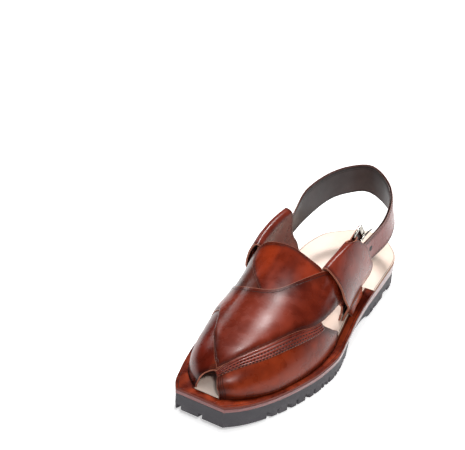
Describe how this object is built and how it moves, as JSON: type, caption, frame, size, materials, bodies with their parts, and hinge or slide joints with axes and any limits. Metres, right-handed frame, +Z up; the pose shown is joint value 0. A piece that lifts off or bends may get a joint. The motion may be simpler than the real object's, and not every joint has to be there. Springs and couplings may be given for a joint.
{
  "type": "peshawari chappal sandal",
  "caption": "Left leather sandal with a diagonal cross piece over the toe panels, folded side loops, a buckled heel strap, and a grooved black tread sole.",
  "frame": {"origin": "on the ground, under the middle of the sole's length and width", "axes": "+Z up, -Y towards the toe, +X towards the outer (lateral) side of this left sandal"},
  "size_m": [0.1061, 0.2918, 0.1054],
  "materials": {
    "black_rubber": "matt moulded rubber",
    "red_brown_edge": "polished, dyed edge",
    "rim_leather": "polished leather",
    "cream_leather": "plain, smooth",
    "upper_leather": "burnished and glossy",
    "loop_leather": "burnished and glossy",
    "strap_leather": "burnished, with a dark lining",
    "steel": "bright, slightly worn"
  },
  "bodies": {
    "root": {"outsole": "black_rubber", "midsole": "red_brown_edge", "rim_strip": "rim_leather", "insole": "cream_leather", "upper": "upper_leather", "loop_lateral": "loop_leather", "loop_medial": "loop_leather", "heel_strap": "strap_leather", "buckle_frame": "steel", "buckle_prong": "steel"}
  },
  "joints": []
}
